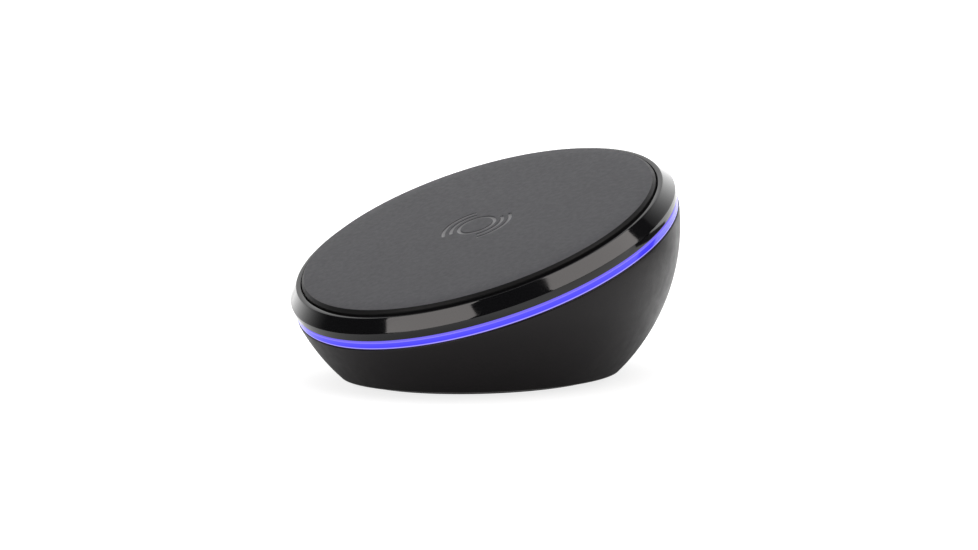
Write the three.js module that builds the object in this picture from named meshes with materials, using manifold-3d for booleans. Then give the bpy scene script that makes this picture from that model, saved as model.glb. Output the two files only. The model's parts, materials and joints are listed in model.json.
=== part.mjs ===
// Wireless charging pad: a ball-shaped body cut flat by the table and by a tilted charging face.
// Millimetres, +Z up, the user in front at -Y. The origin is on the table in the middle of the
// footprint, straight below the middle of the charging face.

import * as THREE from "three";
import { mergeVertices } from "three/addons/utils/BufferGeometryUtils.js";
import Module from "manifold-3d";

const wasm = await Module();
wasm.setup();

// ---------- Driving dimensions ----------

// Body
const BALL_RADIUS = 50; // outside of the body, centred on the middle of the charging face
const FOOTPRINT_RADIUS = 33.4; // where the table cuts the ball
const TILT_DEGREES = 21.7; // the charging face leans towards the user
const WALL = 2.4;
const CLEAR = 0.3; // between neighbouring pieces

// Charging head, measured along its own tilted axis
const PAD_THICKNESS = 2.2;
const PAD_EDGE_RADIUS = 0.7;
const PAD_GAP = 0.4; // dark groove around the pad
const ADHESIVE_THICKNESS = 0.3;
const DECK_THICKNESS = 1.5;
const LAND_DROP = 1.05; // bezel's top edge below the pad's face
const LAND_WIDTH = 1.2; // flat rim around the groove
const CHAMFER_RUN = 2.4;
const CHAMFER_DROP = 2.95;
const BEZEL_BAND = 1.95; // upright band below the chamfer
const BEZEL_INSET = 0.35; // bezel's widest circle inside the ball
const BEZEL_SHELF = 2.6; // width of the inner shelf that the deck presses on
const LIGHT_RING_HEIGHT = 1.7;
const LIGHT_RING_DEPTH = 4;
const LIGHT_RING_INSET = 0.4;
const LEDGE_THICKNESS = 1.6;
const LEDGE_WIDTH = 5;
const CHASSIS_THICKNESS = 1.5;
const CHASSIS_MARGIN = 2; // between the chassis ring and the inside of the ball
const CHASSIS_LIP = 1.6; // chassis ring inside its screw heads

// Coil stack
const WIRE_RADIUS = 0.6;
const COIL_INNER_RADIUS = 10.5;
const COIL_TURNS = 8;
const COIL_PITCH = 1.45;
const FERRITE_MARGIN = 2.4; // ferrite beyond the outermost turn
const FERRITE_THICKNESS = 1.2;
const TRAY_MARGIN = 5; // tray beyond the ferrite
const TRAY_THICKNESS = 1.2;
const LEAD_RADIUS = 0.5;
const LEAD_CHANNEL_MARGIN = 2; // lead's groove in the ferrite, inside the first turn
const LEAD_BEND = { run: 3, nose: 0.5, dip: 0.6 }; // each lead's turn over the tray's edge
const LEAD_LANDING = { inset: 8, slack: 1 }; // from the board's edge
const CABLE_RISE = 10; // straight run of leads and ribbon above the board
const LEAD_SPREAD = 2; // each lead's distance from the middle plane
const NOTCH_WIDTH = 8; // gap in the tray that both leads pass through
const THERMISTOR_RADIUS = 0.5;
const THERMISTOR_LENGTH = 2;

// Light
const LED_COUNT = 12;
const LED_SIZE = { wide: 3, deep: 1.2, high: 1.2 };
const LED_BOARD_THICKNESS = 1;
const RIBBON_WIDTH = 5;
const RIBBON_THICKNESS = 0.3;
const RIBBON_X = 12;
const RIBBON_FOLD = { before: 3, over: 1, past: 2, dip: 0.5 }; // around the chassis ring's edge
const LED_CONNECTOR = { y: 17, wide: 8, deep: 4, high: 2.4 };

// Base
const RIM_LIFT = 0.8; // body's lower edge above the table
const FOOT_THICKNESS = 1.5;
const FOOT_CHAMFER = 0.4;
const FOOT_MARGIN = 0.6; // base plate beyond the foot pad
const BASE_THICKNESS = 2.4;
const BASE_LEDGE_THICKNESS = 3;
const BASE_LEDGE_WIDTH = 6.8;
const BALLAST_THICKNESS = 4;
const BALLAST_SCREW_INSET = 6.6;

// Main board
const BOARD_LIFT = 5.1; // underside above the base plate
const BOARD_THICKNESS = 1.6;
const BOARD_MARGIN = 4.3; // between the board's edge and the inside of the ball
const BOARD_TAB_WIDTH = 14;
const BOARD_TAB_MARGIN = 0.8;
const BOARD_POST_RADIUS = 2.6;
const BOARD_POST_GAP = 1.5; // on both sides of each post
const BOARD_FRONT_LIMIT = 0.6; // straight front edge's greatest share of the board's radius
const CHIP_HEIGHT = 0.9;
const CONTROLLER_SIZE = [7, 7, CHIP_HEIGHT];
const DRIVER_SIZE = [5, 6, CHIP_HEIGHT];
const INDUCTOR_SIZE = [7, 7, 3];
const CAPACITOR_COUNT = 4;
const CAPACITOR_SIZE = [5.7, 5, 2.8];
const CAPACITOR_GAP = 1.3;
const CAPACITOR_MARGIN = 1; // between the row and the screw heads
const BULK_CAPACITOR = { x: 23, y: 13, radius: 3.2, height: 5.4 };
const HEAD_ROOM = 1; // above the board's front edge

// Power inlet
const USB_SIZE = { wide: 8.94, high: 3.26, long: 8.6 };
const USB_SHEET = 0.3;
const USB_MOUTH_DEPTH = 6.2;
const USB_TONGUE = { wide: 6.69, high: 0.7, long: 4.45 };
const PORT_POCKET = { wide: 12, high: 6, deep: 2 };
const PORT_FRAME = 1.5; // wall around the pocket

// Screws
const SCREW = { headRadius: 2.1, headHeight: 1.1, shankRadius: 1 };
const SCREW_BITE = 2.2; // thread length in what it holds to
const BORE_WALL = 1.5;

// Roundness
const BALL_STEPS = 48;
const FINE_STEPS = 56;
const COARSE_STEPS = 32;
const SCREW_STEPS = 10;
const WIRE_SIDES = 6;

// ---------- Levels worked out from the driving dimensions ----------

const TILT = THREE.MathUtils.degToRad(TILT_DEGREES);
const CENTRE_HEIGHT = chord(BALL_RADIUS, FOOTPRINT_RADIUS);
const INNER_BALL_RADIUS = BALL_RADIUS - WALL;

// Layers of the head, from the pad's face (height 0) down
const pad = layerBelow(0, PAD_THICKNESS);
const adhesive = layerBelow(pad.bottom - CLEAR, ADHESIVE_THICKNESS);
const deck = layerBelow(adhesive.bottom - CLEAR, DECK_THICKNESS);
const coil = layerBelow(deck.bottom - CLEAR, 2 * WIRE_RADIUS);
const ferrite = layerBelow(coil.bottom - CLEAR, FERRITE_THICKNESS);
const tray = layerBelow(ferrite.bottom - CLEAR, TRAY_THICKNESS);
const bezel = layerBelow(-LAND_DROP, CHAMFER_DROP + BEZEL_BAND);
const lightRing = layerBelow(bezel.bottom - CLEAR, LIGHT_RING_HEIGHT);
const leds = layerBelow(lightRing.middle + LED_SIZE.high / 2, LED_SIZE.high);
const ledBoard = layerBelow(leds.bottom - CLEAR, LED_BOARD_THICKNESS);
const ledge = layerBelow(ledBoard.bottom - CLEAR, LEDGE_THICKNESS);
const chassis = layerBelow(ledge.bottom - CLEAR, CHASSIS_THICKNESS);
const rimHeight = lightRing.bottom - CLEAR;

// Circles of the head
const bezelRadius = chord(BALL_RADIUS, bezel.top - CHAMFER_DROP) - BEZEL_INSET;
const landRadius = bezelRadius - CHAMFER_RUN;
const wellRadius = landRadius - LAND_WIDTH;
const padRadius = wellRadius - PAD_GAP;
const deckRadius = wellRadius - CLEAR;
const lightOuterRadius = chord(BALL_RADIUS, lightRing.middle) - LIGHT_RING_INSET;
const lightInnerRadius = lightOuterRadius - LIGHT_RING_DEPTH;
const headBoreRadius = lightInnerRadius - CLEAR;
const ledBoardRadius = headBoreRadius - CLEAR;
const ledgeRadius = headBoreRadius - LEDGE_WIDTH;
const chassisRadius = chord(INNER_BALL_RADIUS, chassis.bottom) - CHASSIS_MARGIN;
const coilOuterRadius = COIL_INNER_RADIUS + COIL_TURNS * COIL_PITCH;
const ferriteRadius = coilOuterRadius + WIRE_RADIUS + FERRITE_MARGIN;
const trayRadius = ferriteRadius + TRAY_MARGIN;
const boreRadius = SCREW.shankRadius + CLEAR;
const postRadius = boreRadius + BORE_WALL;
const traySockets = spread(3, ferriteRadius + CLEAR + postRadius, Math.PI / 6);
const deckPostCircle = trayRadius + CLEAR + postRadius;
const deckPosts = spread(4, deckPostCircle, Math.PI / 4);
const chassisInnerRadius = deckPostCircle - SCREW.headRadius - CHASSIS_LIP;
const ledBoardInnerRadius = deckPostCircle + postRadius + CLEAR;

// Layers of the base, from the table up
const foot = layerAbove(0, FOOT_THICKNESS);
const basePlate = layerAbove(foot.top + CLEAR, BASE_THICKNESS);
const baseLedge = layerAbove(basePlate.top + CLEAR, BASE_LEDGE_THICKNESS);
const ballast = layerAbove(basePlate.top + CLEAR, BALLAST_THICKNESS);
const board = layerAbove(basePlate.top + BOARD_LIFT, BOARD_THICKNESS);
const usb = layerAbove(board.top + CLEAR, USB_SIZE.high);

// Circles and places of the base
const rimRadius = chord(BALL_RADIUS, CENTRE_HEIGHT - RIM_LIFT);
const baseBoreRadius = rimRadius - WALL;
const basePlateRadius = baseBoreRadius - CLEAR;
const baseLedgeRadius = baseBoreRadius - BASE_LEDGE_WIDTH;
const baseScrews = spread(4, (basePlateRadius + baseLedgeRadius) / 2, Math.PI / 4);
const boardPostCircle = baseLedgeRadius - BOARD_POST_GAP - BOARD_POST_RADIUS;
const boardPosts = spread(3, boardPostCircle, Math.PI / 2);
const ballastRadius = boardPostCircle - BOARD_POST_RADIUS - BOARD_POST_GAP;
const ballastScrews = spread(2, ballastRadius - BALLAST_SCREW_INSET, 0);
const boardRadius = chord(INNER_BALL_RADIUS, CENTRE_HEIGHT - board.bottom) - BOARD_MARGIN;
const boardTabEnd = chord(INNER_BALL_RADIUS, CENTRE_HEIGHT - board.bottom) - BOARD_TAB_MARGIN;
const pocketFloor = chord(BALL_RADIUS, CENTRE_HEIGHT - usb.middle) - PORT_POCKET.deep;

// ---------- Helpers ----------

// Half the chord of a circle at a distance from its centre.
function chord(radius, distance) {
  return Math.sqrt(radius ** 2 - distance ** 2);
}

function layer(bottom, top) {
  return { bottom, top, middle: (bottom + top) / 2, height: top - bottom };
}

function layerBelow(top, thickness) {
  return layer(top - thickness, top);
}

function layerAbove(bottom, thickness) {
  return layer(bottom, bottom + thickness);
}

// Places evenly spread on a circle around Z.
function spread(count, radius, startAngle) {
  return Array.from({ length: count }, (_, index) => {
    const angle = startAngle + (index * 2 * Math.PI) / count;
    return { x: radius * Math.cos(angle), y: radius * Math.sin(angle), angle };
  });
}

// A closed outline in (radius, height), counterclockwise, turned around Z.
function revolve(outline, steps = COARSE_STEPS, arcSteps = 5) {
  return new THREE.LatheGeometry(outline.getPoints(arcSteps), steps).rotateX(Math.PI / 2);
}

function polygon(corners) {
  return new THREE.Path(corners.map(([x, y]) => new THREE.Vector2(x, y)));
}

function cylinder(radius, bottom, top, steps = COARSE_STEPS) {
  return revolve(polygon([[0, bottom], [radius, bottom], [radius, top], [0, top]]), steps);
}

function ring(inner, outer, bottom, top, steps = COARSE_STEPS) {
  const corners = [[inner, bottom], [outer, bottom], [outer, top], [inner, top], [inner, bottom]];
  return revolve(polygon(corners), steps);
}

function box(wide, deep, high) {
  return new THREE.BoxGeometry(wide, deep, high);
}

// The ball that the body is cut from, standing in the body's frame.
function ball(radius, steps) {
  const sphere = new THREE.SphereGeometry(radius, steps, steps / 2);
  return sphere.rotateX(Math.PI / 2).translate(0, 0, CENTRE_HEIGHT);
}

// From the head's own frame into the body's frame.
function tilted(shape) {
  return shape.rotateX(TILT).translate(0, 0, CENTRE_HEIGHT);
}

function tiltedPoint(x, y, z) {
  const point = new THREE.Vector3(x, y, z).applyAxisAngle(new THREE.Vector3(1, 0, 0), TILT);
  return point.add(new THREE.Vector3(0, 0, CENTRE_HEIGHT));
}

// A slot-shaped prism along Y, from one y to another.
function stadium(wide, high, from, to) {
  const radius = high / 2;
  const reach = wide / 2 - radius;
  const outline = new THREE.Shape();
  outline.absarc(reach, 0, radius, -Math.PI / 2, Math.PI / 2);
  outline.absarc(-reach, 0, radius, Math.PI / 2, (3 * Math.PI) / 2);
  const options = { depth: to - from, bevelEnabled: false, curveSegments: 4 };
  return new THREE.ExtrudeGeometry(outline, options).rotateX(Math.PI / 2).translate(0, to, 0);
}

// A round wire along a curve.
function wire(path, radius, steps) {
  const section = new THREE.Shape();
  section.absarc(0, 0, radius, 0, 2 * Math.PI);
  const options = { steps, extrudePath: path, curveSegments: WIRE_SIDES / 2, bevelEnabled: false };
  return new THREE.ExtrudeGeometry(section, options);
}

function toSolid(geometry) {
  const bare = geometry.clone();
  bare.deleteAttribute("normal");
  bare.deleteAttribute("uv");
  const merged = mergeVertices(bare, 1e-4);
  const options = {
    numProp: 3,
    vertProperties: new Float32Array(merged.attributes.position.array),
    triVerts: new Uint32Array(merged.index.array),
  };
  return new wasm.Manifold(new wasm.Mesh(options));
}

function toGeometry(solid) {
  const mesh = solid.getMesh();
  const geometry = new THREE.BufferGeometry();
  geometry.setAttribute("position", new THREE.BufferAttribute(mesh.vertProperties, 3));
  geometry.setIndex(new THREE.BufferAttribute(mesh.triVerts, 1));
  geometry.computeVertexNormals();
  return geometry;
}

// One base geometry with others joined on and then others cut away.
function shaped(base, { joins = [], cuts = [] }) {
  let solid = toSolid(base);
  for (const join of joins) {
    solid = solid.add(toSolid(join));
  }
  for (const cut of cuts) {
    solid = solid.subtract(toSolid(cut));
  }
  return toGeometry(solid);
}

function finish(colour, roughness, metalness = 0) {
  return new THREE.MeshStandardMaterial({ color: colour, roughness, metalness });
}

const model = new THREE.Group();
const base = new THREE.Group();
const head = new THREE.Group();
head.rotation.x = TILT;
head.position.z = CENTRE_HEIGHT;
model.add(base, head);

function place(group, name, geometry, material, position = {}, turn = {}) {
  const mesh = new THREE.Mesh(geometry, material);
  mesh.name = name;
  mesh.position.set(position.x ?? 0, position.y ?? 0, position.z ?? 0);
  mesh.rotation.set(turn.x ?? 0, turn.y ?? 0, turn.z ?? 0);
  group.add(mesh);
  return mesh;
}

// ---------- Materials ----------

const finishes = {
  softPad: finish(0x5f5f62, 0.8),
  pianoBlack: finish(0x0b0b0d, 0.12),
  glow: finish(0x6a55f5, 0.35),
  matteBody: finish(0x2e2c2a, 0.6),
  rubber: finish(0x1a1a1a, 0.95),
  plainPlastic: finish(0x202124, 0.7),
  adhesive: finish(0xd8d2c0, 0.9),
  steel: finish(0xa8abb0, 0.35, 1),
  copper: finish(0xb87333, 0.35, 1),
  ferrite: finish(0x3a3a3c, 0.75),
  boardGreen: finish(0x1f5a34, 0.6),
  boardWhite: finish(0xe6e6e0, 0.6),
  chip: finish(0x151515, 0.5),
  ceramic: finish(0xb9a27c, 0.6),
  ledBody: finish(0xf0ead2, 0.4),
  connector: finish(0xe8e4d8, 0.6),
  insulation: finish(0x7a1f1f, 0.5),
  ribbon: finish(0xc9892f, 0.5),
};

// ---------- Body and base ----------

function portCuts() {
  const hole = stadium(USB_SIZE.wide + 2 * CLEAR, USB_SIZE.high + 2 * CLEAR, 0, BALL_RADIUS);
  const pocket = stadium(PORT_POCKET.wide, PORT_POCKET.high, pocketFloor, 2 * BALL_RADIUS);
  return [hole.translate(0, boardTabEnd / 2, usb.middle), pocket.translate(0, 0, usb.middle)];
}

// Block inside the wall that the inlet's pocket is sunk into, trimmed to the ball.
function portBlock() {
  const top = usb.middle + PORT_POCKET.high / 2 + PORT_FRAME;
  const bottom = baseLedge.top - CLEAR;
  const front = boardTabEnd + CLEAR;
  const shape = box(PORT_POCKET.wide + 2 * PORT_FRAME, BALL_RADIUS - front, top - bottom);
  shape.translate(0, (BALL_RADIUS + front) / 2, (top + bottom) / 2);
  const trimmed = toSolid(shape).intersect(toSolid(ball(BALL_RADIUS - WALL / 2, BALL_STEPS)));
  return toGeometry(trimmed);
}

function bowlCavity() {
  const aboveLedge = tilted(cylinder(2 * BALL_RADIUS, ledge.bottom, 2 * BALL_RADIUS));
  const belowLedge = cylinder(2 * BALL_RADIUS, -BALL_RADIUS, baseLedge.top);
  return shaped(ball(INNER_BALL_RADIUS, COARSE_STEPS), { cuts: [aboveLedge, belowLedge] });
}

function bodyShell() {
  const reach = 2 * BALL_RADIUS;
  const hollow = shaped(ball(BALL_RADIUS, BALL_STEPS), {
    cuts: [
      tilted(cylinder(reach, rimHeight, reach)),
      cylinder(reach, -reach, RIM_LIFT),
      bowlCavity(),
    ],
  });
  const screwBores = baseScrews.map(({ x, y }) => {
    const bore = cylinder(boreRadius, 0, baseLedge.bottom + SCREW_BITE + CLEAR, SCREW_STEPS);
    return bore.translate(x, y, 0);
  });
  return shaped(hollow, {
    joins: [portBlock()],
    cuts: [
      tilted(cylinder(headBoreRadius, ledge.top, reach, FINE_STEPS)),
      tilted(cylinder(ledgeRadius, ledge.bottom - CLEAR, reach, FINE_STEPS)),
      cylinder(baseBoreRadius, -reach, baseLedge.bottom, FINE_STEPS),
      cylinder(baseLedgeRadius, -reach, baseLedge.top + CLEAR, FINE_STEPS),
      ...screwBores,
      ...portCuts(),
    ],
  });
}

function basePlateShape() {
  const posts = boardPosts.map(({ x, y }) => {
    const post = cylinder(BOARD_POST_RADIUS, basePlate.middle, board.bottom - CLEAR, SCREW_STEPS);
    return post.translate(x, y, 0);
  });
  const postBores = boardPosts.map(({ x, y }) => {
    const bottom = board.bottom - CLEAR - SCREW_BITE;
    return cylinder(boreRadius, bottom, board.top, SCREW_STEPS).translate(x, y, 0);
  });
  const ballastBores = ballastScrews.map(({ x, y }) => {
    const bore = cylinder(boreRadius, basePlate.top - BORE_WALL, board.top, SCREW_STEPS);
    return bore.translate(x, y, 0);
  });
  const headSinks = baseScrews.map(({ x, y }) => {
    const top = basePlate.bottom + SCREW.headHeight + CLEAR;
    return cylinder(SCREW.headRadius + CLEAR, 0, top, SCREW_STEPS).translate(x, y, 0);
  });
  const shankBores = baseScrews.map(({ x, y }) => {
    return cylinder(boreRadius, 0, board.top, SCREW_STEPS).translate(x, y, 0);
  });
  const plate = cylinder(basePlateRadius, basePlate.bottom, basePlate.top, FINE_STEPS);
  return shaped(plate, {
    joins: posts,
    cuts: [...postBores, ...ballastBores, ...headSinks, ...shankBores],
  });
}

function footPad() {
  const radius = basePlateRadius - FOOT_MARGIN;
  const corners = [
    [0, foot.bottom],
    [radius - FOOT_CHAMFER, foot.bottom],
    [radius, foot.bottom + FOOT_CHAMFER],
    [radius, foot.top],
    [0, foot.top],
  ];
  return revolve(polygon(corners), FINE_STEPS);
}

function ballastWeight() {
  const slug = cylinder(ballastRadius, ballast.bottom, ballast.top, COARSE_STEPS);
  const cuts = [];
  for (const { x, y } of ballastScrews) {
    const sinkBottom = ballast.top - SCREW.headHeight - CLEAR;
    const sink = cylinder(SCREW.headRadius + CLEAR, sinkBottom, board.top, SCREW_STEPS);
    const bore = cylinder(boreRadius, 0, board.top, SCREW_STEPS);
    cuts.push(sink.translate(x, y, 0), bore.translate(x, y, 0));
  }
  return shaped(slug, { cuts });
}

// Head at height 0 and down to -headHeight, shank below it.
function screw(shankLength) {
  const { headRadius, headHeight, shankRadius } = SCREW;
  const corners = [
    [0, -headHeight - shankLength],
    [shankRadius, -headHeight - shankLength],
    [shankRadius, -headHeight],
    [headRadius, -headHeight],
    [headRadius, 0],
    [0, 0],
  ];
  return revolve(polygon(corners), SCREW_STEPS);
}

function placeScrews(group, name, places, headFace, shankLength, pointingUp) {
  const turn = pointingUp ? { x: Math.PI } : {};
  places.forEach(({ x, y }, index) => {
    const position = { x, y, z: headFace };
    place(group, `${name}_${index + 1}`, screw(shankLength), finishes.steel, position, turn);
  });
}

function buildBase() {
  place(base, "body_shell", bodyShell(), finishes.matteBody);
  place(base, "base_plate", basePlateShape(), finishes.plainPlastic);
  place(base, "foot_pad", footPad(), finishes.rubber);
  place(base, "ballast_weight", ballastWeight(), finishes.steel);
  const baseShank = basePlate.top - basePlate.bottom - SCREW.headHeight + CLEAR + SCREW_BITE;
  placeScrews(base, "base_screw", baseScrews, basePlate.bottom, baseShank, true);
  const ballastShank = ballast.height - SCREW.headHeight + BORE_WALL;
  placeScrews(base, "ballast_screw", ballastScrews, ballast.top, ballastShank, false);
}

// ---------- Charging head ----------

function topPad() {
  const outline = new THREE.Path();
  outline.moveTo(0, pad.bottom);
  outline.lineTo(padRadius, pad.bottom);
  outline.lineTo(padRadius, -PAD_EDGE_RADIUS);
  outline.absarc(padRadius - PAD_EDGE_RADIUS, -PAD_EDGE_RADIUS, PAD_EDGE_RADIUS, 0, Math.PI / 2);
  outline.lineTo(0, 0);
  return revolve(outline, FINE_STEPS, 3);
}

function bezelRing() {
  const chamferFoot = bezel.top - CHAMFER_DROP;
  const bandRadius = chord(BALL_RADIUS, bezel.bottom) - BEZEL_INSET;
  const shelfTop = deck.bottom - CLEAR;
  const corners = [
    [wellRadius - BEZEL_SHELF, bezel.bottom],
    [bandRadius, bezel.bottom],
    [bezelRadius, chamferFoot],
    [landRadius, bezel.top],
    [wellRadius, bezel.top],
    [wellRadius, shelfTop],
    [wellRadius - BEZEL_SHELF, shelfTop],
    [wellRadius - BEZEL_SHELF, bezel.bottom],
  ];
  return revolve(polygon(corners), FINE_STEPS);
}

// Plate under the pad, with posts for the chassis screws and sockets for the tray screws.
function deckPlate() {
  const joins = [];
  const cuts = [];
  for (const { x, y } of deckPosts) {
    const bottom = chassis.top + CLEAR;
    joins.push(cylinder(postRadius, bottom, deck.middle, SCREW_STEPS).translate(x, y, 0));
    const bore = cylinder(boreRadius, chassis.bottom, bottom + SCREW_BITE + CLEAR, SCREW_STEPS);
    cuts.push(bore.translate(x, y, 0));
  }
  for (const { x, y } of traySockets) {
    const bottom = tray.top + CLEAR;
    joins.push(cylinder(postRadius, bottom, deck.middle, SCREW_STEPS).translate(x, y, 0));
    const bore = cylinder(boreRadius, chassis.bottom, bottom + SCREW_BITE + CLEAR, SCREW_STEPS);
    cuts.push(bore.translate(x, y, 0));
  }
  return shaped(cylinder(deckRadius, deck.bottom, deck.top, FINE_STEPS), { joins, cuts });
}

function chassisRing() {
  const plate = ring(chassisInnerRadius, chassisRadius, chassis.bottom, chassis.top);
  const cuts = deckPosts.map(({ x, y }) => {
    const bore = cylinder(boreRadius, chassis.bottom - 1, chassis.top + 1, SCREW_STEPS);
    return bore.translate(x, y, 0);
  });
  return shaped(plate, { cuts });
}

class FlatSpiral extends THREE.Curve {
  arcLengthDivisions = 2000;

  getPoint(t, target = new THREE.Vector3()) {
    const angle = Math.PI / 2 + t * COIL_TURNS * 2 * Math.PI;
    const radius = COIL_INNER_RADIUS + t * COIL_TURNS * COIL_PITCH;
    return target.set(radius * Math.cos(angle), radius * Math.sin(angle), coil.middle);
  }
}

function transmitCoil() {
  const stepsPerTurn = 22;
  return wire(new FlatSpiral(), WIRE_RADIUS, COIL_TURNS * stepsPerTurn);
}

// The slot lets the coil's inner lead pass under its turns.
function ferriteSheet() {
  const disc = cylinder(ferriteRadius, ferrite.bottom, ferrite.top);
  const width = 2 * (LEAD_RADIUS + CLEAR);
  const from = COIL_INNER_RADIUS - LEAD_CHANNEL_MARGIN;
  const slot = box(width, ferriteRadius, 2 * ferrite.height);
  slot.translate(LEAD_SPREAD, from + ferriteRadius / 2, ferrite.middle);
  return shaped(disc, { cuts: [slot] });
}

function coilTray() {
  const disc = cylinder(trayRadius, tray.bottom, tray.top);
  const notch = box(NOTCH_WIDTH, TRAY_MARGIN + 1, 2 * tray.height);
  notch.translate(0, ferriteRadius + CLEAR + (TRAY_MARGIN + 1) / 2, tray.middle);
  const bores = traySockets.map(({ x, y }) => {
    return cylinder(boreRadius, chassis.bottom, coil.bottom, SCREW_STEPS).translate(x, y, 0);
  });
  return shaped(disc, { cuts: [notch, ...bores] });
}

function buildLeds() {
  const circle = ledBoardRadius - LED_SIZE.deep / 2;
  const shape = box(LED_SIZE.deep, LED_SIZE.wide, LED_SIZE.high);
  spread(LED_COUNT, circle, Math.PI / LED_COUNT).forEach(({ x, y, angle }, index) => {
    const position = { x, y, z: leds.middle };
    place(head, `led_${index + 1}`, shape, finishes.ledBody, position, { z: angle });
  });
}

function buildHead() {
  const lightShape = ring(
    lightInnerRadius, lightOuterRadius, lightRing.bottom, lightRing.top, FINE_STEPS);
  const ledBoardShape = ring(
    ledBoardInnerRadius, ledBoardRadius, ledBoard.bottom, ledBoard.top);
  const sheet = cylinder(padRadius - PAD_EDGE_RADIUS, adhesive.bottom, adhesive.top);
  const thermistor = new THREE.CapsuleGeometry(THERMISTOR_RADIUS, THERMISTOR_LENGTH, 2, 8);

  place(head, "top_pad", topPad(), finishes.softPad);
  place(head, "pad_adhesive", sheet, finishes.adhesive);
  place(head, "deck_plate", deckPlate(), finishes.plainPlastic);
  place(head, "bezel_ring", bezelRing(), finishes.pianoBlack);
  place(head, "light_ring", lightShape, finishes.glow);
  place(head, "led_board", ledBoardShape, finishes.boardWhite);
  place(head, "chassis_ring", chassisRing(), finishes.plainPlastic);
  place(head, "transmit_coil", transmitCoil(), finishes.copper);
  place(head, "ferrite_sheet", ferriteSheet(), finishes.ferrite);
  place(head, "coil_tray", coilTray(), finishes.plainPlastic);
  place(head, "thermistor", thermistor, finishes.chip, { z: coil.middle });
  buildLeds();

  const trayShank = tray.height + CLEAR + SCREW_BITE;
  const trayFace = tray.bottom - CLEAR - SCREW.headHeight;
  placeScrews(head, "tray_screw", traySockets, trayFace, trayShank, true);
  const chassisShank = chassis.height + CLEAR + SCREW_BITE;
  const chassisFace = chassis.bottom - CLEAR - SCREW.headHeight;
  placeScrews(head, "chassis_screw", deckPosts, chassisFace, chassisShank, true);
}

// ---------- Electronics ----------

// Round board with a straight front edge under the low side of the head and a tab for the inlet.
function mainBoard() {
  const lowest = chassis.bottom - CLEAR - SCREW.headHeight;
  const drop = (board.top + HEAD_ROOM - CENTRE_HEIGHT) * Math.cos(TILT);
  const front = Math.max((drop - lowest) / Math.sin(TILT), -BOARD_FRONT_LIMIT * boardRadius);
  const frontAngle = Math.asin(front / boardRadius);
  const tabHalf = BOARD_TAB_WIDTH / 2;
  const tabAngle = Math.acos(tabHalf / boardRadius);
  const outline = new THREE.Shape();
  outline.absarc(0, 0, boardRadius, frontAngle, tabAngle);
  outline.lineTo(tabHalf, boardTabEnd);
  outline.lineTo(-tabHalf, boardTabEnd);
  outline.absarc(0, 0, boardRadius, Math.PI - tabAngle, Math.PI - frontAngle);
  for (const { x, y } of boardPosts) {
    const hole = new THREE.Path();
    hole.absarc(x, y, boreRadius, 0, 2 * Math.PI);
    outline.holes.push(hole);
  }
  const options = { depth: board.height, bevelEnabled: false, curveSegments: 10 };
  return new THREE.ExtrudeGeometry(outline, options).translate(0, 0, board.bottom);
}

// Metal sleeve with a contact tongue standing on its back wall.
function usbReceptacle() {
  const { wide, high, long } = USB_SIZE;
  const back = long - USB_MOUTH_DEPTH;
  const inside = stadium(wide - 2 * USB_SHEET, high - 2 * USB_SHEET, back, long + 1);
  const tongue = box(USB_TONGUE.wide, USB_TONGUE.long + 1, USB_TONGUE.high);
  tongue.translate(0, back + (USB_TONGUE.long - 1) / 2, 0);
  const sleeve = shaped(stadium(wide, high, 0, long), { cuts: [inside] });
  return shaped(sleeve, { joins: [tongue] });
}

function buildBoardParts() {
  const { y, wide, deep, high } = LED_CONNECTOR;
  const parts = [
    { name: "controller_chip", x: -12, y: 5, size: CONTROLLER_SIZE, look: finishes.chip },
    { name: "driver_chip_1", x: 9, y: 4, size: DRIVER_SIZE, look: finishes.chip },
    { name: "driver_chip_2", x: 17, y: 4, size: DRIVER_SIZE, look: finishes.chip },
    { name: "input_inductor", x: -17, y: 17, size: INDUCTOR_SIZE, look: finishes.ferrite },
    { name: "led_connector", x: RIBBON_X, y, size: [wide, deep, high], look: finishes.connector },
  ];
  const [rowPitch, rowDepth] = [CAPACITOR_SIZE[0] + CAPACITOR_GAP, CAPACITOR_SIZE[1]];
  const rowY = -boardPostCircle / 2 + SCREW.headRadius + CAPACITOR_MARGIN + rowDepth / 2;
  for (let index = 0; index < CAPACITOR_COUNT; index += 1) {
    const x = (index - (CAPACITOR_COUNT - 1) / 2) * rowPitch;
    const name = `resonant_capacitor_${index + 1}`;
    parts.push({ name, x, y: rowY, size: CAPACITOR_SIZE, look: finishes.ceramic });
  }
  for (const part of parts) {
    const position = { x: part.x, y: part.y, z: board.top + CLEAR + part.size[2] / 2 };
    place(base, part.name, box(...part.size), part.look, position);
  }
  const { x: canX, y: canY, radius, height } = BULK_CAPACITOR;
  const can = cylinder(radius, 0, height, 2 * SCREW_STEPS);
  place(base, "bulk_capacitor", can, finishes.steel, { x: canX, y: canY, z: board.top + CLEAR });
}

// Each lead leaves the coil, drops through the tray's notch and lands on the board.
function coilLead(x, start, level) {
  const dropLine = ferriteRadius + CLEAR + NOTCH_WIDTH / 4;
  const landing = board.top + CLEAR;
  const landingY = boardRadius - LEAD_LANDING.inset;
  const path = new THREE.CatmullRomCurve3([
    tiltedPoint(x, start, level),
    tiltedPoint(x, dropLine - LEAD_BEND.run, level),
    tiltedPoint(x, dropLine - LEAD_BEND.nose, level - LEAD_BEND.dip),
    tiltedPoint(x, dropLine, tray.middle),
    tiltedPoint(x, dropLine, chassis.bottom),
    new THREE.Vector3(x, landingY + LEAD_LANDING.slack, landing + CABLE_RISE),
    new THREE.Vector3(x, landingY, landing),
  ]);
  return wire(path, LEAD_RADIUS, 20);
}

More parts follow.
